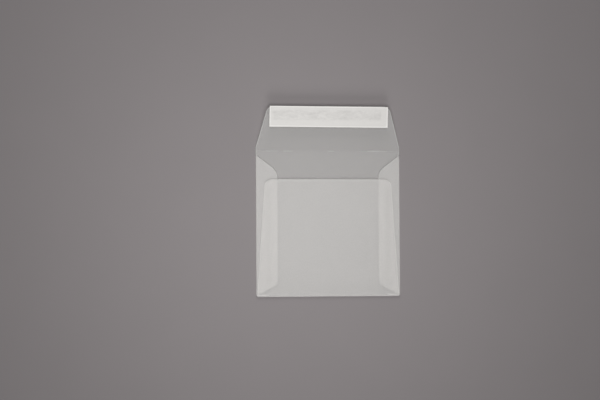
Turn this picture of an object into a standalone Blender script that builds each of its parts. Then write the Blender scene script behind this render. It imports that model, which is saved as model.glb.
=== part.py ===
"""A square envelope of translucent paper, lying on its front with the seal flap open.

One die-cut sheet makes the front panel, two side flaps, the back panel and the seal flap, joined by
creases. The back panel is glued to the side flaps, and the seal flap carries a band of adhesive under a
release liner. Each panel and each fold of the sheet is an object of its own.

Metres. The origin is the centre of the front panel's outer face, +Z points out of the back of the
envelope and +Y towards the seal flap.
"""

import math

import bpy
from mathutils import Vector

MM = 0.001

# Envelope body
BODY_WIDTH = 155.0 * MM
BODY_HEIGHT = 155.0 * MM

# Thickness of each layer
PAPER_THICKNESS = 0.10 * MM
LINER_THICKNESS = 0.07 * MM
ADHESIVE_THICKNESS = 0.05 * MM
SEAM_GLUE_THICKNESS = 0.05 * MM

# Clearances
POCKET_GAP = 0.90 * MM
BOND_GAP = 0.05 * MM
PANEL_GAP = 0.10 * MM
CLOSED_FLAP_CLEARANCE = 0.30 * MM

# Side flaps: inner edge, and the two slanted ends that run from the fold towards it
SIDE_FLAP_WIDTH = 23.4 * MM
SIDE_FLAP_TOP_DROP = 5.0 * MM
SIDE_FLAP_TOP_SLOPE = math.radians(37.0)
SIDE_FLAP_TOP_RADIUS = 16.0 * MM
SIDE_FLAP_BOTTOM_RISE = 1.0 * MM
SIDE_FLAP_BOTTOM_SLOPE = math.radians(28.0)
SIDE_FLAP_BOTTOM_RADIUS = 6.0 * MM

# Back panel, which tapers from the full width at the bottom to a narrower rounded top
BACK_PANEL_HEIGHT = 125.2 * MM
BACK_PANEL_TOP_INSET = 9.6 * MM
BACK_PANEL_BOTTOM_INSET = 1.0 * MM
BACK_PANEL_CORNER_RADIUS = 8.5 * MM

# Glue between the side flaps and the back panel, which ends below the back panel's rounded corners
SEAM_GLUE_MARGIN = 1.0 * MM
SEAM_GLUE_WIDTH = 5.5 * MM
SEAM_GLUE_BOTTOM_MARGIN = 3.0 * MM
SEAM_GLUE_END_RADIUS = 1.5 * MM

# Seal flap, as wide as the body at its crease
FLAP_HEIGHT = 48.0 * MM
FLAP_TOP_WIDTH = 131.0 * MM
FLAP_SHOULDER_HEIGHT = 3.6 * MM
FLAP_SHOULDER_RADIUS = 6.0 * MM
FLAP_CORNER_RADIUS = 9.0 * MM
FLAP_LIFT = math.radians(10.0)

# Release liner, flush with the flap's free edge, and the adhesive band under it, which the liner overhangs
LINER_END_INSET = 1.75 * MM
LINER_WIDTH = 22.5 * MM
ADHESIVE_END_MARGIN = 4.75 * MM
ADHESIVE_UPPER_MARGIN = 4.0 * MM
ADHESIVE_LOWER_MARGIN = 7.0 * MM

ARC_STEP = math.radians(9.0)

# Heights of the layers, counted from the front panel's outer face
SIDE_FLAP_Z = PAPER_THICKNESS + POCKET_GAP
SEAM_GLUE_Z = SIDE_FLAP_Z + PAPER_THICKNESS + BOND_GAP
BACK_PANEL_Z = SEAM_GLUE_Z + SEAM_GLUE_THICKNESS + BOND_GAP
CLOSED_LINER_Z = BACK_PANEL_Z + PAPER_THICKNESS + CLOSED_FLAP_CLEARANCE
SEAL_STACK = LINER_THICKNESS + BOND_GAP + ADHESIVE_THICKNESS + BOND_GAP + PAPER_THICKNESS

# The seal flap turns about a line at half the closed envelope's thickness
CREASE_Y = BODY_HEIGHT / 2
FLAP_AXIS_Z = (CLOSED_LINER_Z + SEAL_STACK) / 2

# The flap's crease is as long as the half circle that it bends into when the flap is closed
CREASE_HALF_LENGTH = math.pi / 2 * (FLAP_AXIS_Z - PAPER_THICKNESS / 2)
CREASE_EDGE = CREASE_HALF_LENGTH + PANEL_GAP

# Outer radii of the closed folds, measured across the layers that each one joins
SIDE_FOLD_RADIUS = (SIDE_FLAP_Z + PAPER_THICKNESS) / 2
BOTTOM_FOLD_RADIUS = (BACK_PANEL_Z + PAPER_THICKNESS) / 2
SIDE_PANEL_EDGE = BODY_WIDTH / 2 - SIDE_FOLD_RADIUS - PANEL_GAP
BOTTOM_PANEL_EDGE = -BODY_HEIGHT / 2 + BOTTOM_FOLD_RADIUS + PANEL_GAP

PAPER_COLOUR = (0.86, 0.86, 0.84)
LINER_COLOUR = (0.93, 0.93, 0.91)
ADHESIVE_COLOUR = (0.88, 0.87, 0.80)
PAPER_ROUGHNESS = 0.55
LINER_ROUGHNESS = 0.35
ADHESIVE_ROUGHNESS = 0.20
PAPER_ALPHA = 0.45
ADHESIVE_ALPHA = 0.60


def clear_scene():
    """Remove every object that the file opened with."""
    for item in list(bpy.data.objects):
        bpy.data.objects.remove(item, do_unlink=True)


def make_material(name, colour, roughness, alpha=1.0):
    """Return a Principled material with a plain colour."""
    material = bpy.data.materials.new(name)
    material.use_nodes = True
    shader = material.node_tree.nodes["Principled BSDF"]
    shader.inputs["Base Color"].default_value = (*colour, 1.0)
    shader.inputs["Roughness"].default_value = roughness
    shader.inputs["Metallic"].default_value = 0.0
    shader.inputs["Alpha"].default_value = alpha
    return material


def paper_material(name):
    """Return the translucent paper's material."""
    return make_material(name + "_paper", PAPER_COLOUR, PAPER_ROUGHNESS, PAPER_ALPHA)


def adhesive_material(name):
    """Return the material of a clear glue film."""
    return make_material(name + "_film", ADHESIVE_COLOUR, ADHESIVE_ROUGHNESS, ADHESIVE_ALPHA)


def arc_points(centre, radius, start, end):
    """Return points on an arc about centre, from angle start to angle end."""
    steps = max(2, math.ceil(abs(end - start) / ARC_STEP))
    points = []
    for step in range(steps + 1):
        angle = start + (end - start) * step / steps
        points.append(Vector((centre[0] + radius * math.cos(angle), centre[1] + radius * math.sin(angle))))
    return points


def rounded_outline(corners):
    """Return a closed outline from its corners, each (x, y, radius), with an arc at each rounded one."""
    points = []
    for index, (x, y, radius) in enumerate(corners):
        corner = Vector((x, y))
        if radius == 0.0:
            points.append(corner)
            continue
        before = Vector(corners[index - 1][:2]) - corner
        after = Vector(corners[(index + 1) % len(corners)][:2]) - corner
        opening = before.angle(after)
        bisector = (before.normalized() + after.normalized()).normalized()
        centre = corner + bisector * radius / math.sin(opening / 2)
        tangent = radius / math.tan(opening / 2)
        first = corner + before.normalized() * tangent - centre
        last = corner + after.normalized() * tangent - centre
        start = math.atan2(first.y, first.x)
        points.extend(arc_points(centre, radius, start, start - first.angle_signed(last)))
    return points


def rectangle(x_low, x_high, y_low, y_high, radius=0.0):
    """Return the outline of a rectangle, with its corners rounded by radius."""
    corners = [(x_low, y_low), (x_high, y_low), (x_high, y_high), (x_low, y_high)]
    return rounded_outline([(x, y, radius) for x, y in corners])


def make_slab(name, outline, thickness, material, collection, parent=None):
    """Return an object that is a flat outline in its own XY plane, thickened equally to both sides."""
    curve = bpy.data.curves.new(name, type="CURVE")
    curve.dimensions = "2D"
    curve.fill_mode = "BOTH"
    curve.extrude = thickness / 2
    spline = curve.splines.new("POLY")
    spline.points.add(len(outline) - 1)
    for point, place in zip(spline.points, outline):
        point.co = (place.x, place.y, 0.0, 1.0)
    spline.use_cyclic_u = True
    curve.materials.append(material)
    slab = bpy.data.objects.new(name, curve)
    slab.parent = parent
    collection.objects.link(slab)
    return slab


def make_panel(name, outline, z_low, collection):
    """Return a panel of the sheet that lies flat with its lower face at z_low."""
    panel = make_slab(name, outline, PAPER_THICKNESS, paper_material(name), collection)
    panel.location.z = z_low + PAPER_THICKNESS / 2
    return panel


def make_axis(name, location, rotation_x, collection, parent=None):
    """Return an empty that marks where a moving piece turns or slides."""
    axis = bpy.data.objects.new(name, None)
    axis.empty_display_size = 5.0 * MM
    axis.location = location
    axis.rotation_euler.x = rotation_x
    axis.parent = parent
    collection.objects.link(axis)
    return axis


def fold_outline(outer_radius):
    """Return the section of a closed fold: a half ring of paper that bulges towards +X."""
    quarter = math.pi / 2
    outer = arc_points((0.0, 0.0), outer_radius, -quarter, quarter)
    inner = arc_points((0.0, 0.0), outer_radius - PAPER_THICKNESS, quarter, -quarter)
    return outer + inner


def front_panel(collection):
    """Make the front panel: a square that reaches past the side folds in its top corners."""
    half_width = BODY_WIDTH / 2
    top = CREASE_Y - CREASE_EDGE
    ear = CREASE_Y - SIDE_FLAP_TOP_DROP + PANEL_GAP
    right_side = [
        (SIDE_PANEL_EDGE, BOTTOM_PANEL_EDGE),
        (SIDE_PANEL_EDGE, ear),
        (half_width, ear),
        (half_width, top),
    ]
    left_side = [(-x, y) for x, y in reversed(right_side)]
    outline = rounded_outline([(x, y, 0.0) for x, y in right_side + left_side])
    return make_panel("front_panel", outline, 0.0, collection)


def side_flap(side, name, collection):
    """Make one side flap, which is folded in over the front panel. Side is -1 for left and 1 for right."""
    half_width = BODY_WIDTH / 2
    inner = half_width - SIDE_FLAP_WIDTH
    reach = SIDE_FLAP_WIDTH - (half_width - SIDE_PANEL_EDGE)
    top = CREASE_Y - SIDE_FLAP_TOP_DROP
    bottom = -BODY_HEIGHT / 2 + SIDE_FLAP_BOTTOM_RISE
    corners = [
        (SIDE_PANEL_EDGE, bottom, 0.0),
        (SIDE_PANEL_EDGE, top, 0.0),
        (inner, top - reach * math.tan(SIDE_FLAP_TOP_SLOPE), SIDE_FLAP_TOP_RADIUS),
        (inner, bottom + reach * math.tan(SIDE_FLAP_BOTTOM_SLOPE), SIDE_FLAP_BOTTOM_RADIUS),
    ]
    outline = rounded_outline([(side * x, y, radius) for x, y, radius in corners])
    return make_panel(name, outline, SIDE_FLAP_Z, collection)


def side_fold(side, name, collection):
    """Make the fold between the front panel and one side flap."""
    top = CREASE_Y - SIDE_FLAP_TOP_DROP
    bottom = -BODY_HEIGHT / 2 + SIDE_FLAP_BOTTOM_RISE
    fold = make_slab(name, fold_outline(SIDE_FOLD_RADIUS), top - bottom, paper_material(name), collection)
    fold.location = (side * (BODY_WIDTH / 2 - SIDE_FOLD_RADIUS), (top + bottom) / 2, SIDE_FOLD_RADIUS)
    fold.rotation_euler = (math.pi / 2, 0.0, 0.0 if side > 0 else math.pi)
    return fold


def bottom_fold(collection):
    """Make the fold between the front panel and the back panel."""
    length = BODY_WIDTH - 2 * BACK_PANEL_BOTTOM_INSET
    name = "bottom_fold"
    fold = make_slab(name, fold_outline(BOTTOM_FOLD_RADIUS), length, paper_material(name), collection)
    fold.location = (0.0, -BODY_HEIGHT / 2 + BOTTOM_FOLD_RADIUS, BOTTOM_FOLD_RADIUS)
    fold.rotation_euler = (math.pi / 2, 0.0, -math.pi / 2)
    return fold


def back_panel(collection):
    """Make the back panel, folded up over the side flaps."""
    bottom_half = BODY_WIDTH / 2 - BACK_PANEL_BOTTOM_INSET
    top_half = BODY_WIDTH / 2 - BACK_PANEL_TOP_INSET
    top = -BODY_HEIGHT / 2 + BACK_PANEL_HEIGHT
    corners = [
        (-bottom_half, BOTTOM_PANEL_EDGE, 0.0),
        (bottom_half, BOTTOM_PANEL_EDGE, 0.0),
        (top_half, top, BACK_PANEL_CORNER_RADIUS),
        (-top_half, top, BACK_PANEL_CORNER_RADIUS),
    ]
    return make_panel("back_panel", rounded_outline(corners), BACK_PANEL_Z, collection)


def seam_glue(side, name, collection):
    """Make the line of glue that holds the back panel down on one side flap."""
    outer = BODY_WIDTH / 2 - BACK_PANEL_TOP_INSET - SEAM_GLUE_MARGIN
    inner = outer - SEAM_GLUE_WIDTH
    flap_rise = (BODY_WIDTH / 2 - inner) * math.tan(SIDE_FLAP_BOTTOM_SLOPE)
    bottom = -BODY_HEIGHT / 2 + SIDE_FLAP_BOTTOM_RISE + flap_rise + SEAM_GLUE_BOTTOM_MARGIN
    top = -BODY_HEIGHT / 2 + BACK_PANEL_HEIGHT - BACK_PANEL_CORNER_RADIUS
    x_low, x_high = sorted((side * inner, side * outer))
    outline = rectangle(x_low, x_high, bottom, top, SEAM_GLUE_END_RADIUS)
    glue = make_slab(name, outline, SEAM_GLUE_THICKNESS, adhesive_material(name), collection)
    glue.location.z = SEAM_GLUE_Z + SEAM_GLUE_THICKNESS / 2
    return glue


def flap_crease(collection):
    """Make the seal flap's crease, bent by the angle at which the open flap lies."""
    radius = FLAP_AXIS_Z + CREASE_HALF_LENGTH / math.tan(FLAP_LIFT / 2)
    start = -math.pi / 2
    end = start + FLAP_LIFT
    inner = arc_points((0.0, radius), radius - PAPER_THICKNESS, end, start)
    outer = arc_points((0.0, radius), radius, start, end)
    name = "flap_crease"
    crease = make_slab(name, outer + inner, BODY_WIDTH, paper_material(name), collection)
    crease.location = (0.0, CREASE_Y - CREASE_HALF_LENGTH, 0.0)
    crease.rotation_euler = (math.pi / 2, 0.0, math.pi / 2)
    return crease


def seal_flap(axis, collection):
    """Make the seal flap, in the frame of the axis that it turns about."""
    base_half = BODY_WIDTH / 2
    top_half = FLAP_TOP_WIDTH / 2
    right_side = [
        (base_half, CREASE_EDGE, 0.0),
        (base_half, FLAP_SHOULDER_HEIGHT, FLAP_SHOULDER_RADIUS),
        (top_half, FLAP_HEIGHT, FLAP_CORNER_RADIUS),
    ]
    left_side = [(-x, y, radius) for x, y, radius in reversed(right_side)]
    name = "seal_flap"
    outline = rounded_outline(right_side + left_side)
    flap = make_slab(name, outline, PAPER_THICKNESS, paper_material(name), collection, axis)
    flap.location.z = PAPER_THICKNESS / 2 - FLAP_AXIS_Z
    return flap


def seal_adhesive(axis, collection):
    """Make the adhesive band on the flap's inner face."""
    half_length = FLAP_TOP_WIDTH / 2 - LINER_END_INSET - ADHESIVE_END_MARGIN
    top = FLAP_HEIGHT - ADHESIVE_UPPER_MARGIN
    bottom = FLAP_HEIGHT - LINER_WIDTH + ADHESIVE_LOWER_MARGIN
    name = "seal_adhesive"
    outline = rectangle(-half_length, half_length, bottom, top)
    band = make_slab(name, outline, ADHESIVE_THICKNESS, adhesive_material(name), collection, axis)
    band.location.z = PAPER_THICKNESS + BOND_GAP + ADHESIVE_THICKNESS / 2 - FLAP_AXIS_Z
    return band


def release_liner(axis, collection):
    """Make the release liner that covers the adhesive, centred on the axis that it is pulled along."""
    half_length = FLAP_TOP_WIDTH / 2 - LINER_END_INSET
    height = PAPER_THICKNESS + BOND_GAP + ADHESIVE_THICKNESS + BOND_GAP + LINER_THICKNESS / 2 - FLAP_AXIS_Z
    slide = make_axis("liner_slide", (0.0, FLAP_HEIGHT - LINER_WIDTH / 2, height), 0.0, collection, axis)
    outline = rectangle(-half_length, half_length, -LINER_WIDTH / 2, LINER_WIDTH / 2)
    material = make_material("release_liner_paper", LINER_COLOUR, LINER_ROUGHNESS)
    return make_slab("release_liner", outline, LINER_THICKNESS, material, collection, slide)


def build_envelope():
    """Make the pocket, then the flap on its axis, then the liner on the flap."""
    clear_scene()
    collection = bpy.data.collections.new("envelope")
    bpy.context.scene.collection.children.link(collection)

    front_panel(collection)
    for side, word in ((-1, "left"), (1, "right")):
        side_fold(side, word + "_fold", collection)
        side_flap(side, word + "_side_flap", collection)
        seam_glue(side, word + "_seam_glue", collection)
    bottom_fold(collection)
    back_panel(collection)
    flap_crease(collection)

    axis = make_axis("flap_axis", (0.0, CREASE_Y, FLAP_AXIS_Z), FLAP_LIFT, collection)
    seal_flap(axis, collection)
    seal_adhesive(axis, collection)
    release_liner(axis, collection)


build_envelope()
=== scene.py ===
"""A square envelope of translucent paper, lying on its front with its seal flap open.

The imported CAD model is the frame. Each piece made here is a thin closed sheet that stands for one or two
CAD nodes and rides on their body, or bends between two bodies. Sizes are in metres. The origin is the
centre of the front panel's outer face, +Z points out of the back of the envelope and +Y towards the seal
flap.
"""

import logging
import math
from collections.abc import Mapping, Sequence
from dataclasses import dataclass
from enum import Enum
from functools import partialmethod

import bpy
import numpy as np
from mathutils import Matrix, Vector


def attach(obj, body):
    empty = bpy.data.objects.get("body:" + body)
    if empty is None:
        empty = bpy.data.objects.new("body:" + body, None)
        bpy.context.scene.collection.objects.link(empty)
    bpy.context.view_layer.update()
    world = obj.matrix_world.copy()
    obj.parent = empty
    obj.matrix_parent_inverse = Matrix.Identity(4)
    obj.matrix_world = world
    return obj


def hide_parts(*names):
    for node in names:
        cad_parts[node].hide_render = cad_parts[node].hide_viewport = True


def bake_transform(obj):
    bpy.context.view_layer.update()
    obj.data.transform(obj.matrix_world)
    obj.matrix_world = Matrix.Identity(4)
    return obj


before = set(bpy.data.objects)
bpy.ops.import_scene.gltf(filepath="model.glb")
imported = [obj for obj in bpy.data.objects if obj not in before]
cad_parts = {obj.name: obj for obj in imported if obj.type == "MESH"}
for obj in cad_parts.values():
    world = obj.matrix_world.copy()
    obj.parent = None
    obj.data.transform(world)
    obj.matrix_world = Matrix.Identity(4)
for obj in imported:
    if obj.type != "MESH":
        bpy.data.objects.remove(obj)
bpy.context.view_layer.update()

log = logging.getLogger("envelope")

Array = np.ndarray
Material = bpy.types.Material
Colour = tuple[float, float, float]
Place = tuple[float, float, float]
Span = tuple[float, float]
Weights = tuple[float, ...]
Rows = tuple[tuple[float, ...], ...]

MM = 0.001
CLOSEST_ROWS = 0.001 * MM
WHITE = (1.0, 1.0, 1.0, 1.0)

PLAN_MAP = "sheet_plan"
EDGE_MARK = "edge_distance"
FOLD_MARK = "fold_distance"
BACKING_MARK = "adhesive_backing"
JOINED_MARK = "joined_end"
# Marks a painted glint on the bottom fold near its two ends.
FOLD_GLINT_MARK = "painted_fold_glint"
FAR_FROM_FOLD = 60.0 * MM
RIM_ANGLE = math.radians(60.0)


class Body(Enum):
    """The rigid bodies of the frame."""

    POCKET = "pocket"
    FLAP = "flap"
    LINER = "liner"


class Slot(Enum):
    """The record's material slots."""

    SHEET = "sheet_paper"
    LINER = "liner_paper"
    ADHESIVE = "adhesive_film"
    GLUE = "glue_film"


class Side(Enum):
    """The two sides of the envelope, each with the sign of its X."""

    LEFT = -1
    RIGHT = 1

    @property
    def word(self) -> str:
        """The side's name in lower case."""
        return self.name.lower()


# Shapes worked out as whole arrays


def smooth(value: Array, low: float, high: float) -> Array:
    """Rise from 0 at low to 1 at high along 3t^2 - 2t^3, and stay level outside."""
    share = np.clip((value - low) / (high - low), 0.0, 1.0)
    return share * share * (3.0 - 2.0 * share)


def grid(*parts: Array | float) -> Array:
    """Return one grid of points from the grids of their parts."""
    return np.stack(np.broadcast_arrays(*parts), -1)


def arc_at(before: Place, corner: Place, after: Place, steps: int = 14) -> Array:
    """Trace the arc that rounds a corner between two straight runs.

    Its centre lies on the corner's bisector, radius / sin(half the opening) away. With u and v from the
    centre to the arc's two ends and w the angle between them, it is (u sin(w - t) + v sin(t)) / sin(w).

    Args:
        before: Corner before this one, as (x, y, radius).
        corner: The corner to round.
        after: Corner after this one.
        steps: Number of straight steps that the arc is made of.

    Returns:
        Points on the arc, as rows of (x, y).
    """
    place, radius = np.array(corner[:2]), corner[2]
    runs = np.array([before[:2], after[:2]]) - place
    runs = runs / np.linalg.norm(runs, axis=1)[:, None]
    half_opening = math.acos(float(runs[0] @ runs[1])) / 2
    bisector = runs.sum(0) / np.linalg.norm(runs.sum(0))
    centre = place + bisector * radius / math.sin(half_opening)
    first, last = place + runs * radius / math.tan(half_opening) - centre
    whole = math.pi - 2 * half_opening
    turn = np.linspace(0.0, whole, steps + 1)[:, None]
    return centre + (first * np.sin(whole - turn) + last * np.sin(turn)) / math.sin(whole)


def rounded_path(*corners: Place) -> Array:
    """Trace straight runs between corners, each (x, y, radius), whose arcs round all but the two ends."""
    arcs = [arc_at(*three) for three in zip(corners, corners[1:], corners[2:])]
    return np.concatenate([[corners[0][:2]], *arcs, [corners[-1][:2]]])


def stations(low: float, high: float, step: float, *exact: Array, margin: Sequence[float] = ()) -> Array:
    """Choose a grid's rows: evenly spaced, and also wherever the shape turns.

    Args:
        low: First row.
        high: Last row.
        step: Greatest even spacing.
        *exact: Places that need a row of their own.
        margin: Distances from both ends that need one too.

    Returns:
        The rows' places in rising order, with none closer than the closest rows allowed.
    """
    even = np.linspace(low, high, max(2, math.ceil((high - low) / step) + 1))
    near = np.array(margin)
    every = np.concatenate([even, low + near, high - near, *exact])
    every = np.sort(every[(every >= low) & (every <= high)])
    every = every[np.diff(every, prepend=-math.inf) > CLOSEST_ROWS]
    every[-1] = high
    return every


def distance_to_path(x: Array, y: Array, path: Array) -> Array:
    """Find how far each place lies from a path of straight runs.

    The nearest place on a run is its start plus a share of the run, which is the offset's part along the
    run, held between 0 and 1.

    Args:
        x: Place across.
        y: Place along.
        path: The path's points, as rows of (x, y).

    Returns:
        The shortest distance for each place.
    """
    run = np.diff(path, axis=0)
    offset = grid(x, y)[..., None, :] - path[:-1]
    share = np.clip((offset * run).sum(-1) / (run * run).sum(-1), 0.0, 1.0)
    return np.linalg.norm(offset - share[..., None] * run, axis=-1).min(-1)


def waves_lift(waves: Rows, x: Array, y: Array, held: Array) -> Array:
    """Add faint waves, each height * (1 + sin(2 pi * place / length + phase)) / 2.

    Args:
        waves: The height, length, turn and phase of each.
        x: Place across the sheet.
        y: Place along the sheet.
        held: 0 where a fold holds the sheet straight, 1 where it is free.

    Returns:
        How far the sheet is lifted at each place.
    """
    return held * sum(
        height * (1.0 + np.sin(math.tau * (x * math.cos(turn) + y * math.sin(turn)) / length + phase)) / 2
        for height, length, turn, phase in waves
    )


@dataclass
class Sheet:
    """A thin closed sheet, worked out on a grid of rows and columns.

    Its plan is where each point lies on the flat sheet before it is folded. Its marks are numbers that the
    finishes read, such as the distance to the nearest cut edge. Where the same paper goes on as another
    piece it is joined, and its rim is marked there, so that the finish can leave it unseen.
    """

    middle: Array
    outward: Array
    plan: Array
    marks: Mapping[str, Array]
    thickness: float
    joined: Array | None = None

    def build(self, name: str, material: Material) -> bpy.types.Object:
        """Make the sheet a mesh: its two faces lie half the thickness to each side of its middle.

        Args:
            name: Name of the piece.
            material: What it is made of.

        Returns:
            The object, at the origin, with its place in its mesh.
        """
        rows, columns = self.plan.shape[:2]
        half = self.outward * self.thickness / 2
        points = np.concatenate([self.middle + half, self.middle - half]).reshape(-1, 3)
        number = np.arange(rows * columns).reshape(rows, columns)
        corners = [number[:-1, :-1], number[:-1, 1:], number[1:, 1:], number[1:, :-1]]
        outer = np.stack(corners, -1).reshape(-1, 4)
        inner = outer[:, ::-1] + rows * columns
        ring = np.concatenate([number[0, :-1], number[:-1, -1], number[-1, :0:-1], number[:0:-1, 0]])
        ahead = np.roll(ring, -1)
        rim = np.stack([ring + rows * columns, ahead + rows * columns, ahead, ring], -1)
        faces = np.concatenate([outer, inner, rim])
        across = np.gradient(self.middle, axis=1)
        along = np.gradient(self.middle, axis=0)
        if (np.cross(across, along) * self.outward).sum() < 0:
            faces = faces[:, ::-1]

        mesh = bpy.data.meshes.new(name)
        mesh.from_pydata(points.tolist(), [], faces.tolist())
        mesh.shade_smooth()
        mesh.set_sharp_from_angle(angle=RIM_ANGLE)
        layer = mesh.uv_layers.new(name=PLAN_MAP)
        plan = np.tile(self.plan.reshape(-1, 2), (2, 1))
        layer.uv.foreach_set("vector", plan[faces.ravel()].astype(np.float32).ravel())
        for mark, value in self.marks.items():
            self._mark(mesh, "POINT", mark, np.tile(value.ravel(), 2))
        if self.joined is not None:
            flags = self.joined.ravel()
            value = np.zeros(len(faces))
            value[-len(ring) :] = flags[ring] & flags[ahead]
            self._mark(mesh, "FACE", JOINED_MARK, value)
        mesh.materials.append(material)
        piece = bpy.data.objects.new(name, mesh)
        bpy.context.scene.collection.objects.link(piece)
        return piece

    @staticmethod
    def _mark(mesh: bpy.types.Mesh, domain: str, name: str, value: Array) -> None:
        """Keep a number for each point or face of the mesh."""
        attribute = mesh.attributes.new(name, "FLOAT", domain)
        attribute.data.foreach_set("value", value.astype(np.float32))


# Shader maths


@dataclass
class Sock:
    """An output socket of a node, whose arithmetic adds Math nodes."""

    graph: "Graph"
    socket: bpy.types.NodeSocket

    def _maths(self, other: "Sock | float", operation: str, swapped: bool = False) -> "Sock":
        """Return the result of a Math node on this value and another."""
        first, second = (other, self) if swapped else (self, other)
        return self.graph.node("ShaderNodeMath", {"operation": operation}, {0: first, 1: second})

    __add__ = partialmethod(_maths, operation="ADD")
    __radd__ = partialmethod(_maths, operation="ADD", swapped=True)
    __sub__ = partialmethod(_maths, operation="SUBTRACT")
    __rsub__ = partialmethod(_maths, operation="SUBTRACT", swapped=True)
    __mul__ = partialmethod(_maths, operation="MULTIPLY")


def weighted(parts: Sequence[Sock], weights: Weights) -> Sock:
    """Return the sum of several values, each times its weight."""
    first, *rest = (part * weight for part, weight in zip(parts, weights))
    return sum(rest, first)


@dataclass(frozen=True)
class Noise:
    """A cloudy pattern: how far apart its clouds lie, its finer layers, their strength and its scale."""

    size: float
    detail: float = 3.0
    roughness: float = 0.6
    scale: Place = (1.0, 1.0, 1.0)


class Graph:
    """The node tree of a material or of the world."""

    def __init__(self, tree: bpy.types.NodeTree) -> None:
        """Start with an empty tree."""
        self.tree = tree
        tree.nodes.clear()

    def node(
        self,
        kind: str,
        settings: Mapping[str, object] | None = None,
        inputs: Mapping[str | int, object] | None = None,
        output: str | int = 0,
    ) -> Sock:
        """Add a node of any type.

        Args:
            kind: The node's type.
            settings: Its own settings, such as an operation, which are set first.
            inputs: A value or a link for each socket, by the socket's name or number.
            output: Which of its outputs is wanted.

        Returns:
            That output.
        """
        made = self.tree.nodes.new(kind)
        for setting, value in (settings or {}).items():
            setattr(made, setting, value)
        for key, value in (inputs or {}).items():
            if isinstance(value, Sock):
                self.tree.links.new(value.socket, made.inputs[key])
            else:
                made.inputs[key].default_value = value
        return Sock(self, made.outputs[output] if len(made.outputs) else None)

    def attribute(self, name: str) -> Sock:
        """Return a number that the mesh keeps, which is 0 where it has none of that name."""
        return self.node("ShaderNodeAttribute", {"attribute_name": name}, output="Fac")

    def noise(self, place: Sock, pattern: Noise) -> Sock:
        """Read a cloudy pattern.

        Args:
            place: Where it is read, in metres.
            pattern: The pattern.

        Returns:
            A value about 0, which is usually within 0.25 of it.
        """
        scaled = self.node("ShaderNodeVectorMath", {"operation": "MULTIPLY"}, {0: place, 1: pattern.scale})
        inputs = {
            "Vector": scaled,
            "Scale": 1.0 / pattern.size,
            "Detail": pattern.detail,
            "Roughness": pattern.roughness,
        }
        return self.node("ShaderNodeTexNoise", {}, inputs, "Fac") - 0.5

    def clouds(self, *patterns: Noise) -> list[Sock]:
        """Return cloudy patterns, read at the place on the flat sheet."""
        place = self.node("ShaderNodeUVMap", {"uv_map": PLAN_MAP})
        return [self.noise(place, pattern) for pattern in patterns]

    def near(self, distance: Sock, inside: float, outside: float) -> Sock:
        """Return 1 up to the distance inside, falling smoothly to 0 at the distance outside."""
        inputs = {"Value": distance, "From Min": inside, "From Max": outside, "To Min": 1.0, "To Max": 0.0}
        return self.node("ShaderNodeMapRange", {"interpolation_type": "SMOOTHSTEP"}, inputs)

    def colour_mix(self, share: Sock, first: Colour | Sock, second: Colour | Sock) -> Sock:
        """Return a colour between two, by share."""
        first, second = (value if isinstance(value, Sock) else (*value, 1.0) for value in (first, second))
        return self.node("ShaderNodeMix", {"data_type": "RGBA"}, {0: share, 6: first, 7: second}, 2)

    def shader_mix(self, share: Sock | float, first: Sock, second: Sock) -> Sock:
        """Return a shader between two, by share."""
        return self.node("ShaderNodeMixShader", {}, {0: share, 1: first, 2: second})

    def bump(self, height: Sock, strength: float, distance: float) -> Sock:
        """Return a normal that follows a height."""
        inputs = {"Strength": strength, "Distance": distance, "Height": height}
        return self.node("ShaderNodeBump", {}, inputs)

    def principled(self, base: Sock, rough: Sock | float, normal: Sock, others: Mapping[str, float]) -> Sock:
        """Return a Principled shader, with its other sockets set directly."""
        inputs = {"Base Color": base, "Roughness": rough, "Normal": normal, **others}
        return self.node("ShaderNodeBsdfPrincipled", {}, inputs)

    def window(self) -> Sock:
        """Return a clear shader."""
        return self.node("ShaderNodeBsdfTransparent")

    def surface(self, shader: Sock) -> None:
        """Make a shader the material's surface."""
        self.node("ShaderNodeOutputMaterial", {}, {"Surface": shader})


def new_material(name: str) -> tuple[Material, Graph]:
    """Start a material.

    Args:
        name: Its name.

    Returns:
        The material, and its empty graph.
    """
    material = bpy.data.materials.new(name)
    material.use_nodes = True
    return material, Graph(material.node_tree)


# Finishes


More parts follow.
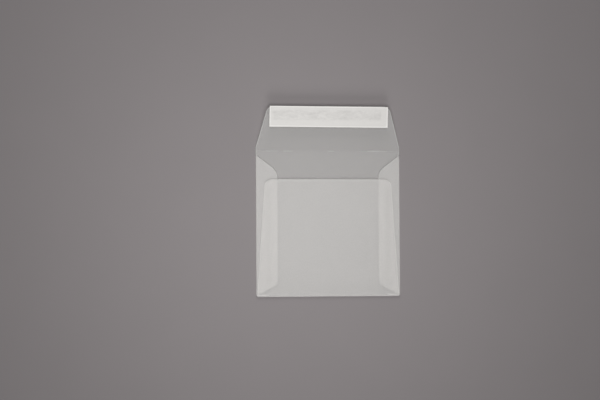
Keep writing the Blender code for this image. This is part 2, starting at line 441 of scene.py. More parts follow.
@dataclass(frozen=True)
class SheetPaper:
    """Translucent white paper, cloudy inside, with painted shade along its cut edges and pale folds.

    The weights are those of the cloud, the floc and the fibre. Each cover is how much less clear the paper
    is at its painted edge shade, the painted highlight just inside that, a fold, where paleness is partly
    the whitening of creased paper and partly a painted highlight, or the painted glint near a fold's ends.
    """

    name: str
    clear: float
    bright: Colour
    dull: Colour
    painted_edge_shade_cover: float
    painted_edge_highlight_cover: float
    # The colour of the painted edge shade, which stands in for the narrow shadow of a raised cut edge.
    painted_edge_shade: Colour = (0.24, 0.23, 0.22)
    cloud: Noise = Noise(9.0 * MM, roughness=0.55)
    floc: Noise = Noise(1.6 * MM)
    fibre: Noise = Noise(0.28 * MM, detail=2.0, scale=(1.0, 0.2, 1.0))
    formation_weights: Weights = (0.16, 0.4, 0.35)
    relief_weights: Weights = (0.5, 0.6, 0.5)
    clear_change: float = 0.08
    through: float = 0.45
    # Widths of the painted edge shade's dark core and its fade, and of the painted highlight just inside it.
    painted_edge_shade_core: float = 0.1 * MM
    painted_edge_shade_width: float = 0.36 * MM
    painted_edge_highlight_width: float = 1.5 * MM
    # Folds are paler, partly from the whitening of creased paper and partly as a painted highlight on their
    # rounded edges.
    fold_width: float = 0.9 * MM
    fold_whitening_and_highlight_cover: float = 0.13
    fold_whitening_and_highlight: float = 0.8
    fold_whitening_and_highlight_weights: Weights = (1.5, 1.2)
    fold_depth: float = 6.0
    # How much paler the painted glint near a fold's ends makes the paper.
    fold_glint_cover: float = 0.22
    roughness: float = 0.52
    roughness_change: float = 0.14
    bump: Span = (0.35, 0.05 * MM)
    ior: float = 1.48

    def make(self) -> Material:
        """Mix paper that reflects, paper that glows through and a clear share, by the cloud in the sheet.

        Returns:
            The material.
        """
        material, graph = new_material(self.name)
        cloud, floc, fibre = graph.clouds(self.cloud, self.floc, self.fibre)
        formation = weighted((cloud, floc, fibre), self.formation_weights)
        distance = graph.attribute(EDGE_MARK)
        # cut is painted shade along the cut edges: darker and less clear, standing in for the narrow shadow
        # that a raised edge throws.
        cut = graph.near(distance, self.painted_edge_shade_core, self.painted_edge_shade_width)
        # lip is a painted highlight: the paper is made less clear, so paler, in a band just inside the
        # painted edge shade.
        lip = graph.near(distance, self.painted_edge_shade_width, self.painted_edge_highlight_width) - cut
        # The folds are made paler, partly as the whitening of creased paper and partly as a painted
        # highlight.
        folded = graph.near(graph.attribute(FOLD_MARK), 0.0, self.fold_width)
        whitened_and_lit_folds = folded * (self.fold_whitening_and_highlight + weighted((cloud, floc), self.fold_whitening_and_highlight_weights))
        covers = (self.painted_edge_shade_cover, self.painted_edge_highlight_cover, self.fold_whitening_and_highlight_cover, self.fold_glint_cover)
        # The fold's scuff attribute is a painted glint near a fold's ends.
        cover = weighted((cut, lip, whitened_and_lit_folds, graph.attribute(FOLD_GLINT_MARK)), covers)
        clear = self.clear - formation * self.clear_change - cover + graph.attribute(JOINED_MARK)
        white = graph.colour_mix(formation + 0.5, self.dull, self.bright)
        # The painted edge shade also darkens the colour at the cut edges.
        base = graph.colour_mix(cut, white, self.painted_edge_shade)
        rough = self.roughness + (floc + fibre) * self.roughness_change
        relief = weighted((cloud, floc, fibre), self.relief_weights) - folded * self.fold_depth
        normal = graph.bump(relief, *self.bump)
        face = graph.principled(base, rough, normal, {"IOR": self.ior})
        glow = graph.node("ShaderNodeBsdfTranslucent", {}, {"Color": base, "Normal": normal})
        paper = graph.shader_mix(self.through, face, glow)
        graph.surface(graph.shader_mix(clear, paper, graph.window()))
        return material


@dataclass(frozen=True)
class LinerPaper:
    """Smooth white release paper, with painted light and shade of its wrinkles and bubbles, most over the
    adhesive, and a painted highlight round its rim.
    """

    bright: Colour = (0.87, 0.85, 0.823)
    dull: Colour = (0.59, 0.575, 0.557)
    blotch: Noise = Noise(5.5 * MM, scale=(0.45, 1.0, 1.0))
    fine_wrinkle_shading: Noise = Noise(2.2 * MM, detail=2.0, scale=(0.6, 1.0, 1.0))
    speck: Noise = Noise(0.9 * MM)
    fibre: Noise = Noise(0.25 * MM, detail=2.0, scale=(0.2, 1.0, 1.0))
    # The blotch and cling clouds give painted light and shade of the liner's wrinkles and bubbles, strongest
    # over the adhesive.
    wrinkle_shading_weights: Weights = (0.9, 0.5)
    paleness: float = 0.55
    wrinkle_shading_anywhere: float = 0.25
    wrinkle_shading_on_backing: float = 0.75
    speck_weight: float = 0.1
    backing_darkness: float = 0.16
    # How much the rim is lightened, as a painted highlight.
    painted_rim_highlight: float = 0.6
    rim: Span = (0.5 * MM, 1.5 * MM)
    roughness: float = 0.68
    roughness_change: float = 0.2
    relief_weights: Weights = (0.2, 0.1)
    bump: Span = (0.35, 0.15 * MM)
    ior: float = 1.46
    specular: float = 0.25

    def make(self) -> Material:
        """Cloud the paper's gloss and, with painted light and shade of wrinkles and bubbles, its colour,
        most of all over the adhesive, and paint a highlight round its rim.

        Returns:
            The material.
        """
        material, graph = new_material("liner_paper")
        blotch, fine_wrinkle_shading, speck, fibre = graph.clouds(self.blotch, self.fine_wrinkle_shading, self.speck, self.fibre)
        backing = graph.attribute(BACKING_MARK)
        rim = graph.near(graph.attribute(EDGE_MARK), *self.rim)
        # marks is painted light and shade of the wrinkles and bubbles; over the adhesive it also drives
        # their bumps.
        marks = weighted((blotch, fine_wrinkle_shading), self.wrinkle_shading_weights)
        share = self.paleness + marks * (self.wrinkle_shading_anywhere + backing * self.wrinkle_shading_on_backing)
        # The rim term adds a painted highlight round the liner's edge.
        share = share + speck * self.speck_weight - backing * self.backing_darkness + rim * self.painted_rim_highlight
        base = graph.colour_mix(share, self.dull, self.bright)
        rough = self.roughness + (blotch + speck) * self.roughness_change
        relief = marks * backing + weighted((speck, fibre), self.relief_weights)
        normal = graph.bump(relief, *self.bump)
        others = {"IOR": self.ior, "Specular IOR Level": self.specular}
        graph.surface(graph.principled(base, rough, normal, others))
        return material


@dataclass(frozen=True)
class ClearFilm:
    """A clear film of glue, streaked along its length. The weights are of its cloud, streaks and grain."""

    name: str
    bright: Colour
    dull: Colour
    clear: float
    clear_change: float
    streak: Noise
    roughness: float
    cloud: Noise = Noise(6.0 * MM)
    grain: Noise = Noise(0.4 * MM, detail=2.0)
    body_weights: Weights = (0.7, 0.9, 0.4)
    roughness_change: float = 0.25
    bump: Span = (0.4, 0.06 * MM)
    ior: float = 1.47

    def make(self) -> Material:
        """Mix a film that reflects with a clear share, by the streaks that it was laid down in.

        Returns:
            The material.
        """
        material, graph = new_material(self.name)
        body = weighted(graph.clouds(self.cloud, self.streak, self.grain), self.body_weights)
        base = graph.colour_mix(body + 0.5, self.dull, self.bright)
        rough = self.roughness + body * self.roughness_change
        normal = graph.bump(body, *self.bump)
        skin = graph.principled(base, rough, normal, {"IOR": self.ior})
        graph.surface(graph.shader_mix(self.clear - body * self.clear_change, skin, graph.window()))
        return material


@dataclass(frozen=True)
class TablePaper:
    """The plain grey ground that the envelope lies on. The weights are of its grain and its cloud."""

    bright: Colour = (0.258, 0.237, 0.240)
    dull: Colour = (0.242, 0.223, 0.226)
    grain: Noise = Noise(0.5 * MM, detail=2.0)
    cloud: Noise = Noise(60.0 * MM, detail=2.0, roughness=0.5)
    body_weights: Weights = (0.8, 0.6)
    roughness: float = 0.75
    bump: Span = (0.2, 0.05 * MM)
    specular: float = 0.2

    def make(self) -> Material:
        """Give the ground a fine even grain.

        Returns:
            The material.
        """
        material, graph = new_material("table_paper")
        place = graph.node("ShaderNodeTexCoord", output="Object")
        grain, cloud = (graph.noise(place, pattern) for pattern in (self.grain, self.cloud))
        base = graph.colour_mix(weighted((grain, cloud), self.body_weights) + 0.5, self.dull, self.bright)
        normal = graph.bump(grain, *self.bump)
        others = {"Specular IOR Level": self.specular}
        graph.surface(graph.principled(base, self.roughness, normal, others))
        return material


SINGLE_PAPER = SheetPaper(
    "single_sheet_paper",
    clear=0.765,
    bright=(0.972, 0.98, 0.955),
    dull=(0.932, 0.94, 0.91),
    painted_edge_shade_cover=0.25,
    painted_edge_highlight_cover=0.16,
)
FOLDED_PAPER = SheetPaper(
    "folded_sheet_paper",
    clear=0.698,
    bright=(0.985, 0.972, 0.96),
    dull=(0.945, 0.932, 0.915),
    # The folded sheets' raised edges get a bolder painted edge shade and a fainter painted highlight beside
    # it.
    painted_edge_shade_cover=0.72,
    painted_edge_highlight_cover=0.08,
)
SEAM_FILM = ClearFilm(
    "glue_film",
    bright=(0.42, 0.41, 0.38),
    dull=(0.34, 0.33, 0.30),
    clear=0.97,
    clear_change=0.06,
    streak=Noise(1.1 * MM, scale=(1.0, 0.08, 1.0)),
    roughness=0.5,
)
BAND_FILM = ClearFilm(
    "adhesive_film",
    bright=(0.92, 0.90, 0.82),
    dull=(0.84, 0.81, 0.71),
    clear=0.72,
    clear_change=0.2,
    streak=Noise(1.1 * MM, scale=(0.08, 1.0, 1.0)),
    roughness=0.2,
)


# Sub-assemblies


def finished(piece: bpy.types.Object, nodes: Sequence[str], body: Body | None = None) -> None:
    """Tie a piece to the frame and report it.

    Args:
        piece: The piece.
        nodes: The CAD nodes that it stands for.
        body: The body that it rides on, or None where it bends between two.
    """
    if body is not None:
        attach(piece, body.value)
    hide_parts(*nodes)
    piece.data.calc_loop_triangles()
    log.info("%s: %d triangles, for %s", piece.name, len(piece.data.loop_triangles), ", ".join(nodes))


@dataclass(frozen=True)
class SheetStock:
    """Sizes that all parts of the die-cut sheet share. The margins are rows kept close to its edges."""

    thickness: float = 0.10 * MM
    half_width: float = 77.5 * MM
    half_height: float = 77.5 * MM
    side_fold_outer: float = 0.55 * MM
    bottom_fold_outer: float = 0.675 * MM
    flap_axis_height: float = 0.985 * MM
    flap_lift: float = math.radians(10.0)
    crease_half_width: float = 77.9 * MM
    step: float = 2.2 * MM
    margin: tuple[float, ...] = (0.15 * MM, 0.35 * MM, 0.6 * MM, 0.95 * MM, 1.5 * MM, 2.6 * MM)

    @property
    def crease_half_length(self) -> float:
        """Half the strip of paper that bends at the seal flap's crease: a quarter of its closed bend."""
        return math.pi / 2 * (self.flap_axis_height - self.thickness / 2)

    @property
    def crease_start(self) -> float:
        """Y at which the front panel ends and the crease begins."""
        return self.half_height - self.crease_half_length

    @property
    def side_fold_edge(self) -> float:
        """X at which the front panel ends and a side fold begins."""
        return self.half_width - self.side_fold_outer

    @property
    def bottom_fold_edge(self) -> float:
        """Y at which the front panel ends and the bottom fold begins."""
        return self.bottom_fold_outer - self.half_height

    def half_bend(self, outer: float) -> float:
        """Return the length of paper from the front panel to the middle of a fold of this outer radius."""
        return math.pi / 2 * (outer - self.thickness / 2)

    def columns(self, half_width: Array) -> Array:
        """Spread columns over rows of different width.

        Near both edges they keep fixed distances from the edge, so that a mark along the edge stays as wide
        as it is. The columns between them share the rest evenly.

        Args:
            half_width: Half the width of each row.

        Returns:
            X for each row and column.
        """
        inset = np.array([0.0, *self.margin])
        count = math.ceil((half_width.max() - inset[-1]) / self.step)
        inner = (half_width - inset[-1])[:, None] * np.arange(-count + 1, count) / count
        left = inset - half_width[:, None]
        return np.concatenate([left, inner, -left[:, ::-1]], 1)


@dataclass
class Pocket:
    """The pocket: front panel, two side flaps and the back panel, one sheet folded and glued."""

    stock: SheetStock
    ear_start: float = 72.5 * MM
    ear_rise: float = 0.4 * MM
    flap_inner: float = 54.1 * MM
    flap_slant_start: float = 76.85 * MM
    flap_top: float = 72.5 * MM
    flap_top_slope: float = math.radians(37.0)
    flap_top_radius: float = 16.0 * MM
    flap_bottom: float = -76.5 * MM
    flap_bottom_slope: float = math.radians(28.0)
    flap_bottom_radius: float = 6.0 * MM
    back_top: float = 47.7 * MM
    back_bottom_half: float = 76.5 * MM
    back_top_half: float = 67.9 * MM
    back_corner_radius: float = 8.5 * MM
    # How much fainter the painted edge shade is along the back panel's slanted sides, the length over which
    # it turns bolder, and how much bolder it is along the mouth.
    back_side_shade_faintness: float = 0.22 * MM
    back_side_length: float = 6.0 * MM
    mouth_shade_boldness: float = 0.14 * MM
    # Where the painted glint on the bottom fold sits: how far from the middle, how far beyond the fold and
    # how wide.
    fold_glint_ends: Span = (62.0 * MM, 67.0 * MM)
    fold_glint_place: float = 0.9 * MM
    fold_glint_width: float = 0.6 * MM
    bowl_depth: float = 0.25 * MM
    bowl_side: Span = (44.0 * MM, 56.1 * MM)
    bowl_foot: Span = (-70.0 * MM, -40.0 * MM)
    pressed_share: float = 0.72
    pressed_reach: float = 22.0 * MM
    fold_steps: int = 18
    hold: float = 12.0 * MM
    front_waves: Rows = ((0.07 * MM, 61.0 * MM, 0.4, 1.1), (0.05 * MM, 43.0 * MM, 2.1, 4.0))
    back_waves: Rows = ((0.07 * MM, 74.0 * MM, 1.2, 0.3), (0.05 * MM, 38.0 * MM, -0.5, 2.2))

    def _held(self, x: Array, y: Array, top: float) -> Array:
        """Return 0 at the side and bottom folds and at a fold at the top, rising to 1 inside."""
        insets = (self.stock.side_fold_edge - np.abs(x), y - self.stock.bottom_fold_edge, top - y)
        return math.prod(smooth(inset, 0.0, self.hold) for inset in insets)

    def pressed(self, x: Array, y: Array) -> Array:
        """Return how much of its full height the pocket has: least at the folds, which were pressed flat."""
        inset = np.minimum(self.stock.half_width - np.abs(x), self.stock.half_height + y)
        return self.pressed_share + (1.0 - self.pressed_share) * smooth(inset, 0.0, self.pressed_reach)

    def raised(
        self, flat: Array | float, x: Array, y: Array, angle: Array | float = math.pi
    ) -> tuple[Array, Array, Array]:
        """Place the folds, the side flaps, the glue or the back panel over the front panel.

        The height above the front panel's middle is scaled by the share k to which the pocket is pressed
        there. So a fold is half an ellipse, out = r sin(a) and up = -k r cos(a), whose outward direction is
        (k sin(a), -cos(a)). The sheets' waves come on top, less a shallow bowl between the side flaps.

        Args:
            flat: Height in a pocket with level walls.
            x: Place across.
            y: Place along.
            angle: The angle a, which is pi beyond the fold.

        Returns:
            The height, and the parts of the outward direction along the table and upwards.
        """
        bowl = (1.0 - smooth(np.abs(x), *self.bowl_side)) * smooth(y, *self.bowl_foot)
        lift = waves_lift(self.back_waves, x, y, self._held(x, y, math.inf)) - self.bowl_depth * bowl
        base = self.stock.thickness / 2
        share = self.pressed(x, y)
        level, upward = share * np.sin(angle), -np.cos(angle)
        length = np.hypot(level, upward)
        return base + (flat - base) * share + lift, level / length, upward / length

    def over_fold(self, edge: float, outer: float, way: int, flat: Array) -> Array:
        """Work out the rows of a sheet that goes half way round a fold and straight back from there.

        On the fold, place = edge + way r sin(a) and height = outer - r cos(a), with r at the paper's middle.

        Args:
            edge: Where the front panel ends.
            outer: Outer radius of the fold.
            way: 1 where the fold lies beyond a positive edge, -1 beyond a negative one.
            flat: Places of the rows beyond the fold, from the edge inwards.

        Returns:
            Five values for each row: its place, its height, the length of paper from the front panel, the
            angle a, and its place if the fold were left out.
        """
        radius = outer - self.stock.thickness / 2
        turns = np.linspace(0.0, math.pi, self.fold_steps, endpoint=False)
        angle = np.concatenate([turns, np.full(len(flat), math.pi)])
        base = np.concatenate([np.full(len(turns), edge), flat])
        place = base + way * radius * np.sin(angle)
        height = outer - radius * np.cos(angle)
        length = radius * angle + way * (edge - base)
        return np.stack([place, height, length, angle, base])

    def front(self) -> Sheet:
        """Work out the front panel: a square whose top corners reach out past the side folds.

        Returns:
            The sheet.
        """
        stock = self.stock
        low, high = stock.bottom_fold_edge, stock.crease_start
        edge_x, tip = stock.side_fold_edge, stock.crease_half_width
        ear = np.array([self.ear_start, self.ear_start + self.ear_rise])
        y = stations(low, high, stock.step, ear, margin=stock.margin)
        x = stock.columns(np.interp(y, ear, [edge_x, tip]))
        y = np.broadcast_to(y[:, None], x.shape)
        z = stock.thickness / 2 + waves_lift(self.front_waves, x, y, self._held(x, y, high))
        ear_path = np.array([(edge_x, ear[0]), (tip, ear[1]), (tip, high)])
        edge = distance_to_path(np.abs(x), y, ear_path)
        side_fold = edge_x - np.abs(x) + stock.half_bend(stock.side_fold_outer)
        side_fold = np.where(y > self.ear_start, FAR_FROM_FOLD, side_fold)
        bottom_fold = y - low + stock.half_bend(stock.bottom_fold_outer)
        crease = stock.half_height - y
        fold = np.minimum(np.minimum(side_fold, bottom_fold), crease)
        marks = {EDGE_MARK: edge, FOLD_MARK: fold}
        joined = y <= self.ear_start
        joined[-1] = True
        middle = grid(x, y, z)
        outward = np.array([0.0, 0.0, -1.0])
        return Sheet(middle, outward, middle[..., :2], marks, stock.thickness, joined)

    def side_flap(self, side: Side) -> Sheet:
        """Work out one side fold and its side flap as one sheet.

        Its rows follow the paper from the front panel round the fold and back over the front panel. Its
        columns go from the lower to the upper slanted end, whose corners are rounded.

        Args:
            side: Which side of the envelope.

        Returns:
            The sheet.
        """
        stock = self.stock
        edge_x = stock.side_fold_edge
        reach = self.flap_slant_start - self.flap_inner
        slant_top = self.flap_top - reach * math.tan(self.flap_top_slope)
        slant_bottom = self.flap_bottom + reach * math.tan(self.flap_bottom_slope)
        outline = rounded_path(
            (self.flap_slant_start, self.flap_bottom, 0.0),
            (self.flap_inner, slant_bottom, self.flap_bottom_radius),
            (self.flap_inner, slant_top, self.flap_top_radius),
            (self.flap_slant_start, self.flap_top, 0.0),
        )
        split = len(outline) // 2
        lower, upper = outline[:split][::-1], outline[split:]
        flat_x = stations(self.flap_inner, edge_x, stock.step, outline[:, 0], margin=stock.margin)[::-1]
        rows = self.over_fold(edge_x, stock.side_fold_outer, 1, flat_x)
        top = np.interp(rows[-1], upper[:, 0], upper[:, 1])
        bottom = np.interp(rows[-1], lower[:, 0], lower[:, 1])
        y = (top + bottom)[:, None] / 2 + stock.columns((top - bottom) / 2)
        x, z, length, angle, flat = np.broadcast_to(rows[..., None], (len(rows), *y.shape))
        z, level, upward = self.raised(z, x, y, angle)
        outward = grid(side.value * level, 0.0, upward)
        path = np.concatenate([[(edge_x, self.flap_bottom)], outline, [(edge_x, self.flap_top)]])
        ends = np.minimum(self.flap_top - y, y - self.flap_bottom)
        edge = np.where(flat < edge_x, distance_to_path(flat, y, path), ends)
        fold = np.abs(length - stock.half_bend(stock.side_fold_outer))
        plan = grid(side.value * (edge_x + length), y)
        marks = {EDGE_MARK: edge, FOLD_MARK: fold}
        middle = grid(side.value * x, y, z)
        return Sheet(middle, outward, plan, marks, stock.thickness, length <= 0.0)

    def back(self) -> Sheet:
        """Work out the bottom fold and the back panel as one sheet.

        Its rows follow the paper from the front panel round the fold and up over the side flaps. Its
        columns go across, over a width that tapers and ends in two rounded corners. The painted edge shade
        is fainter along the slanted sides and bolder along the mouth, whose raised edge throws the darker
        shadow, and a painted glint sits on the fold near its two ends.

        Returns:
            The sheet.
        """
        stock = self.stock
        edge_y = stock.bottom_fold_edge
        half_bend = stock.half_bend(stock.bottom_fold_outer)
        outline = rounded_path(
            (self.back_bottom_half, edge_y, 0.0),
            (self.back_top_half, self.back_top, self.back_corner_radius),
            (0.0, self.back_top, 0.0),
        )
        flat_y = stations(edge_y, self.back_top, stock.step, outline[:-1, 1], margin=stock.margin)
        rows = self.over_fold(edge_y, stock.bottom_fold_outer, -1, flat_y)
        x = stock.columns(np.interp(rows[-1], outline[:-1, 1], outline[:-1, 0]))
        y, z, length, angle, flat = np.broadcast_to(rows[..., None], (len(rows), *x.shape))
        z, level, upward = self.raised(z, x, y, angle)
        outward = grid(0.0, -level, upward)
        # The painted edge shade is fainter along the slanted sides and bolder along the mouth, whose raised
        # edge throws the darker shadow.
        upper = smooth(flat, self.back_top - self.back_side_length, self.back_top)
        faint = self.back_side_shade_faintness * (1.0 - upper) - self.mouth_shade_boldness * upper
        cut = distance_to_path(np.abs(x), flat, outline) + faint
        ends = self.back_bottom_half - np.abs(x) + self.back_side_shade_faintness
        # A painted glint on the fold near its two ends.
        beyond = (length - 2 * half_bend - self.fold_glint_place) / self.fold_glint_width
        marks = {
            EDGE_MARK: np.where(angle < math.pi, ends, cut),
            FOLD_MARK: np.abs(length - half_bend),
            FOLD_GLINT_MARK: np.exp(-(beyond**2)) * smooth(np.abs(x), *self.fold_glint_ends),
        }
        plan = grid(x, edge_y - length)
        return Sheet(grid(x, y, z), outward, plan, marks, stock.thickness, length <= 0.0)

    def build(self, single: Material, folded: Material) -> None:
        """Make the pocket's pieces of paper.

        Args:
            single: What the front panel is made of.
            folded: What is folded over it is made of.
        """
        front = self.front().build("front_sheet", single)
        finished(front, ["front_panel"], Body.POCKET)
        for side in Side:
            flap = self.side_flap(side).build(f"{side.word}_side_sheet", folded)
            finished(flap, [f"{side.word}_fold", f"{side.word}_side_flap"], Body.POCKET)
        back = self.back().build("back_sheet", folded)
        finished(back, ["bottom_fold", "back_panel"], Body.POCKET)


@dataclass
class SeamGlue:
    """The two lines of glue that hold the back panel on the side flaps."""

    pocket: Pocket
    inner: float = 61.4 * MM
    outer: float = 66.9 * MM
    bottom: float = -64.95 * MM
    top: float = 39.2 * MM
    radius: float = 1.5 * MM
    height: float = 1.175 * MM
    thickness: float = 0.05 * MM
    waver: float = 0.22 * MM
    waver_lengths: Span = (4.3 * MM, 1.7 * MM)
    step: float = 1.2 * MM
    columns: int = 13

    def line(self, side: Side) -> Sheet:
        """Work out one line of glue: a narrow band with rounded ends, whose edges waver along it.

        Args:
            side: Which side of the envelope.

        Returns:
            The sheet.
        """
        half = (self.outer - self.inner) / 2
        centre = (self.outer + self.inner) / 2
        ends = rounded_path(
            (0.0, self.bottom, 0.0),
            (half, self.bottom, self.radius),
            (half, self.top, self.radius),
            (0.0, self.top, 0.0),
        )[1:-1]
        y = stations(self.bottom, self.top, self.step, ends[:, 1])
        wide = np.interp(y, ends[:, 1], ends[:, 0])
        slow, quick = self.waver_lengths
        waver = self.waver * (1.0 + np.sin(y / slow) * np.sin(y / quick + side.value)) / 2
        wide = wide - waver * smooth(wide, half - self.radius, half)
        share = np.linspace(-1.0, 1.0, self.columns)
        x = centre + wide[:, None] * share
        y = np.broadcast_to(y[:, None], x.shape)
        z = self.pocket.raised(self.height, x, y)[0]
        edge = wide[:, None] * (1.0 - np.abs(share))
        middle = grid(side.value * x, y, z)
        outward = np.array([0.0, 0.0, 1.0])
        return Sheet(middle, outward, middle[..., :2], {EDGE_MARK: edge}, self.thickness)

    def build(self, glue: Material) -> None:
        """Make both lines of glue.

        Args:
            glue: What they are made of.
        """
        for side in Side:
            piece = self.line(side).build(f"{side.word}_glue_line", glue)
            finished(piece, [f"{side.word}_seam_glue"], Body.POCKET)


@dataclass(frozen=True)
class Strip:
    """A thin rectangle that lies on the seal flap, its right end a little nearer the crease if it slants.

    Each of its blisters is a bell exp(-(d / radius)^2), with its two places, its radius and its height.
    """

    half: float
    low: float
    high: float
    height: float
    thickness: float
    centre: float = 0.0
    slant: float = 0.0
    curl: float = 0.0
    curl_reach: float = 9.0 * MM
    corner_curl: float = 0.0
    corner_reach: float = 5.0 * MM
    blisters: Rows = ()

    def inside(self, x: Array, along: Array) -> Array:
        """Return how far each place lies inside the rectangle."""
        ends = self.half - np.abs(x - self.centre)
        return np.minimum(ends, np.minimum(along - self.low, self.high - along))

    def rise(self, x: Array, along: Array) -> Array:
        """Work out how far the strip stands off the flap.

        Its two ends curl up a little, its loose corner a little more, and its blisters bulge.

        Args:
            x: Place across the envelope.
            along: Distance from the crease along the flap.

        Returns:
            The height above where it would lie flat.
        """
        ends = self.curl * smooth(np.abs(x - self.centre), self.half - self.curl_reach, self.half)
        from_corner = np.hypot(self.centre + self.half - x, along - self.low)
        corner = self.corner_curl * (1.0 - smooth(from_corner, 0.0, self.corner_reach))
        bells = (
            high * np.exp(-((x - across) ** 2 + (along - up) ** 2) / radius**2)
            for across, up, radius, high in self.blisters
        )
        return ends + corner + sum(bells)


@dataclass
class SealFlap:
    """The seal flap, its crease, the adhesive band on it and the liner over that.

    Each of the score's bells has its place, its width and its height.
    """

    stock: SheetStock
    height: float = 48.0 * MM
    top_half: float = 65.5 * MM
    shoulder_height: float = 3.6 * MM
    shoulder_radius: float = 6.0 * MM
    corner_radius: float = 9.0 * MM
    crease_rows: int = 33
    score_depth: float = 0.095 * MM
    score_width: float = 0.55 * MM
    score_reach: float = 0.8 * MM
    score_shift: float = 0.25 * MM
    score_least: float = 0.22
    score_bells: Rows = (
        (54.0 * MM, 14.0 * MM, 0.9),
        (-63.0 * MM, 8.0 * MM, 0.55),
        (-44.0 * MM, 5.0 * MM, 0.3),
        (3.0 * MM, 4.0 * MM, 0.3),
    )
    strip_step: float = 0.8 * MM
    hold: float = 14.0 * MM
    backing_rim: Span = (-0.5 * MM, 1.5 * MM)
    band_shape: Strip = Strip(
        half=59.3 * MM,
        low=32.5 * MM,
        high=44.0 * MM,
        height=0.175 * MM,
        thickness=0.05 * MM,
        centre=-2.0 * MM,
    )
    liner_shape: Strip = Strip(
        half=63.75 * MM,
        low=25.7 * MM,
        high=47.8 * MM,
        height=0.285 * MM,
        thickness=0.07 * MM,
        centre=0.4 * MM,
        slant=0.005,
        curl=0.05 * MM,
        corner_curl=0.18 * MM,
        blisters=(
            (19.0 * MM, 36.0 * MM, 1.3 * MM, 0.18 * MM),
            (27.5 * MM, 40.5 * MM, 3.2 * MM, 0.13 * MM),
            (33.0 * MM, 35.5 * MM, 2.2 * MM, 0.10 * MM),
            (50.0 * MM, 39.0 * MM, 3.8 * MM, 0.07 * MM),
            (-18.5 * MM, 41.0 * MM, 2.6 * MM, 0.11 * MM),
            (-6.0 * MM, 35.8 * MM, 3.0 * MM, 0.09 * MM),
            (-58.5 * MM, 42.5 * MM, 2.0 * MM, 0.06 * MM),
        ),
    )
    waves: Rows = ((0.07 * MM, 52.0 * MM, 0.15, 2.6), (0.04 * MM, 31.0 * MM, 0.9, 0.4))

    def _raised(self, x: Array, along: Array, above: Array | float) -> Array:
        """Place points of the flap as it lies open.

        A point lies along the flap from the crease's axis and above the flap's lower face. Both are turned
        about the axis by the flap's lift.

        Args:
            x: Place across.
            along: Distance from the axis along the flap.
            above: Distance above the flap's lower face, before its waves.

        Returns:
            The places, with (x, y, z) along the last axis.
        """
        stock = self.stock
        sine, cosine = math.sin(stock.flap_lift), math.cos(stock.flap_lift)
        lift = waves_lift(self.waves, x, along, smooth(along, stock.crease_half_length, self.hold))
        rise = above + lift - stock.flap_axis_height
        y = stock.half_height + along * cosine - rise * sine
        z = stock.flap_axis_height + along * sine + rise * cosine
        return grid(x, y, z)

    @property
    def _upward(self) -> Array:
        """The open flap's upward direction."""
        return np.array([0.0, -math.sin(self.stock.flap_lift), math.cos(self.stock.flap_lift)])

    def score_strength(self, x: Array) -> Array:
        """Return how deep the score is along the crease, up to about 1: a faint line and four soft bells."""
        bells = (high * np.exp(-(((x - at) / wide) ** 2)) for at, wide, high in self.score_bells)
        return self.score_least + sum(bells)

    def crease(self) -> Sheet:
        """Work out the strip that bends at the crease.

        Across the crease it is an arc whose angle is the flap's lift. Along its middle runs the score, a
        groove of depth exp(-(d / width)^2) that is deeper in some places than in others.

        Returns:
            The sheet.
        """
        stock = self.stock
        half = stock.crease_half_width
        reach = stock.crease_half_length / math.tan(stock.flap_lift / 2)
        radius = stock.flap_axis_height + reach - stock.thickness / 2
        turn = np.linspace(0.0, stock.flap_lift, self.crease_rows)
        x = stock.columns(np.full(len(turn), half))
        turn = np.broadcast_to(turn[:, None], x.shape)
        distance = radius * (turn - stock.flap_lift / 2)
        strength = self.score_strength(x)
        groove = self.score_depth * strength * np.exp(-((distance / self.score_width) ** 2))
        y = stock.crease_start + (radius + groove) * np.sin(turn)
        z = radius - (radius + groove) * np.cos(turn) + stock.thickness / 2
        outward = grid(0.0, -np.sin(turn), np.cos(turn))
        plan = grid(x, stock.half_height + distance)
        # The pale fold line is centred on the score's lit side, where its painted highlight falls, and fades
        # where the score is faint.
        fold = np.abs(distance + self.score_shift) + self.score_reach * (1.0 - strength)
        marks = {EDGE_MARK: half - np.abs(x), FOLD_MARK: fold}
        joined = (turn <= 0.0) | (turn >= stock.flap_lift)
        return Sheet(grid(x, y, z), outward, plan, marks, stock.thickness, joined)

    def flap(self) -> Sheet:
        """Work out the flap: straight sides, rounded shoulders, a taper and two rounded corners.

        Returns:
            The sheet.
        """
        stock = self.stock
        half = stock.crease_half_width
        start = stock.crease_half_length
        outline = rounded_path(
            (half, start, 0.0),
            (half, self.shoulder_height, self.shoulder_radius),
            (self.top_half, self.height, self.corner_radius),
            (0.0, self.height, 0.0),
        )
        along = stations(start, self.height, stock.step, outline[:-1, 1], margin=stock.margin)
        x = stock.columns(np.interp(along, outline[:-1, 1], outline[:-1, 0]))
        along = np.broadcast_to(along[:, None], x.shape)
        edge = distance_to_path(np.abs(x), along, outline)
        plan = grid(x, stock.half_height + along)
        middle = self._raised(x, along, stock.thickness / 2)
        marks = {EDGE_MARK: edge, FOLD_MARK: along}
        return Sheet(middle, self._upward, plan, marks, stock.thickness, along <= start)

    def strip(self, shape: Strip) -> Sheet:
        """Work out the adhesive band or the liner: a rectangle that follows the flap's waves.

        Args:
            shape: Its size and how it stands off the flap.

        Returns:
            The sheet.
        """
        along = stations(shape.low, shape.high, self.strip_step, margin=self.stock.margin)
        columns = 2 * math.ceil(shape.half / self.strip_step) + 1
        x = shape.centre + np.linspace(-shape.half, shape.half, columns)
        x, along = np.meshgrid(x, along)
        plan = grid(x, along)
        place = along - shape.slant * (x - shape.centre + shape.half)
        backing = smooth(self.band_shape.inside(x, place), *self.backing_rim)
        marks = {EDGE_MARK: shape.inside(x, along), BACKING_MARK: backing}
        middle = self._raised(x, place, shape.height + shape.rise(x, along))
        return Sheet(middle, self._upward, plan, marks, shape.thickness)

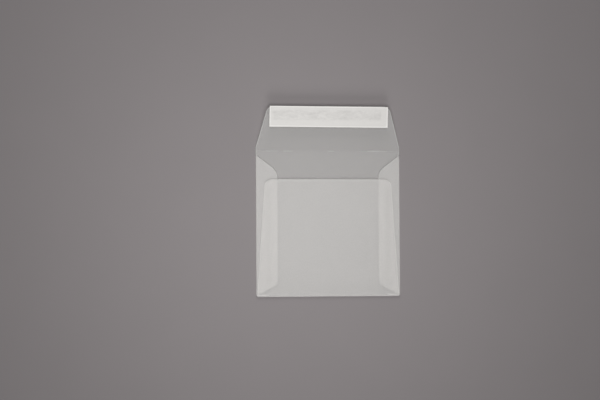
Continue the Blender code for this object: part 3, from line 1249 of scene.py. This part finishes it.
    def build(self, paper: Material, film: Material, liner: Material) -> None:
        """Make the crease, the flap, the adhesive band and the liner.

        Args:
            paper: What the flap is made of.
            film: What the adhesive band is made of.
            liner: What the liner is made of.
        """
        crease = self.crease().build("crease_sheet", paper)
        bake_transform(crease)
        finished(crease, ["flap_crease"])
        finished(self.flap().build("flap_sheet", paper), ["seal_flap"], Body.FLAP)
        band = self.strip(self.band_shape).build("adhesive_band", film)
        finished(band, ["seal_adhesive"], Body.FLAP)
        cover = self.strip(self.liner_shape).build("liner_strip", liner)
        finished(cover, ["release_liner"], Body.LINER)


# Studio


@dataclass(frozen=True)
class SoftLight:
    """A square soft light that faces a point."""

    name: str
    place: Place
    size: float
    power: float
    target: Place = (0.0, 0.0, 0.0)

    def build(self) -> None:
        """Make the light, unseen by the camera."""
        data = bpy.data.lights.new(self.name, "AREA")
        data.shape = "SQUARE"
        data.size = self.size
        data.energy = self.power
        light = bpy.data.objects.new(self.name, data)
        light.location = self.place
        aim = Vector(self.target) - Vector(self.place)
        light.rotation_euler = aim.to_track_quat("-Z", "Y").to_euler()
        light.visible_camera = False
        bpy.context.scene.collection.objects.link(light)


@dataclass
class Studio:
    """The ground, the lights, the world and the camera."""

    ground_half: float = 4.0
    ground_gap: float = 0.05 * MM
    world_strength: float = 0.02
    horizon: Colour = (0.22, 0.205, 0.205)
    camera_place: Place = (-0.3245, -0.0424, 1.9734)
    camera_turn: Place = (math.radians(1.961), math.radians(-8.477), math.radians(-0.009))
    camera_lens: float = 112.59
    sensor: float = 36.0
    clip: Span = (0.01, 50.0)
    transparent_bounces: int = 48
    diffuse_bounces: int = 8
    bounces: int = 16
    lights: tuple[SoftLight, ...] = (
        SoftLight("over_light", (-0.045, 0.008, 0.43), size=0.20, power=1.14, target=(-0.045, 0.008, 0.0)),
        SoftLight("front_light", (0.0, -2.165, 1.25), size=0.90, power=24.5),
        SoftLight("back_light", (0.0, 2.378, 0.773), size=0.90, power=54.0),
    )

    def build(self) -> None:
        """Make the whole studio."""
        self._ground()
        self._world()
        self._camera()
        for light in self.lights:
            light.build()
        bpy.context.scene.view_settings.view_transform = "Standard"
        paths = bpy.context.scene.cycles
        paths.transparent_max_bounces = self.transparent_bounces
        paths.diffuse_bounces = self.diffuse_bounces
        paths.max_bounces = self.bounces

    def _ground(self) -> None:
        """Lay the ground just below the envelope."""
        half = self.ground_half
        corners = [(-half, -half), (half, -half), (half, half), (-half, half)]
        mesh = bpy.data.meshes.new("ground")
        mesh.from_pydata([(x, y, -self.ground_gap) for x, y in corners], [], [(0, 1, 2, 3)])
        mesh.materials.append(TablePaper().make())
        ground = bpy.data.objects.new("ground", mesh)
        bpy.context.scene.collection.objects.link(ground)

    def _world(self) -> None:
        """Light the room faintly and evenly, and show the ground's own grey beyond its end."""
        world = bpy.data.worlds.new("room")
        world.use_nodes = True
        bpy.context.scene.world = world
        graph = Graph(world.node_tree)
        seen = graph.node("ShaderNodeLightPath", output="Is Camera Ray")
        light = {"Color": WHITE, "Strength": self.world_strength}
        grey = {"Color": (*self.horizon, 1.0)}
        room, far = (graph.node("ShaderNodeBackground", {}, inputs) for inputs in (light, grey))
        graph.node("ShaderNodeOutputWorld", {}, {"Surface": graph.shader_mix(seen, room, far)})

    def _camera(self) -> None:
        """Stand the camera almost straight above, a little to the left, as in the photograph."""
        data = bpy.data.cameras.new("camera")
        data.lens = self.camera_lens
        data.sensor_width = self.sensor
        data.clip_start, data.clip_end = self.clip
        camera = bpy.data.objects.new("camera", data)
        camera.rotation_mode = "ZYX"
        camera.rotation_euler = self.camera_turn
        camera.location = self.camera_place
        bpy.context.scene.collection.objects.link(camera)
        bpy.context.scene.camera = camera


def main() -> None:
    """Build the studio, then the pocket, its glue and the seal flap, and report each piece."""
    logging.basicConfig(level=logging.INFO, format="%(name)s: %(message)s")
    Studio().build()
    stock = SheetStock()
    single = SINGLE_PAPER.make()
    pocket = Pocket(stock)
    pocket.build(single, FOLDED_PAPER.make())
    SeamGlue(pocket).build(SEAM_FILM.make())
    SealFlap(stock).build(single, BAND_FILM.make(), LinerPaper().make())


if __name__ == "__main__":
    main()
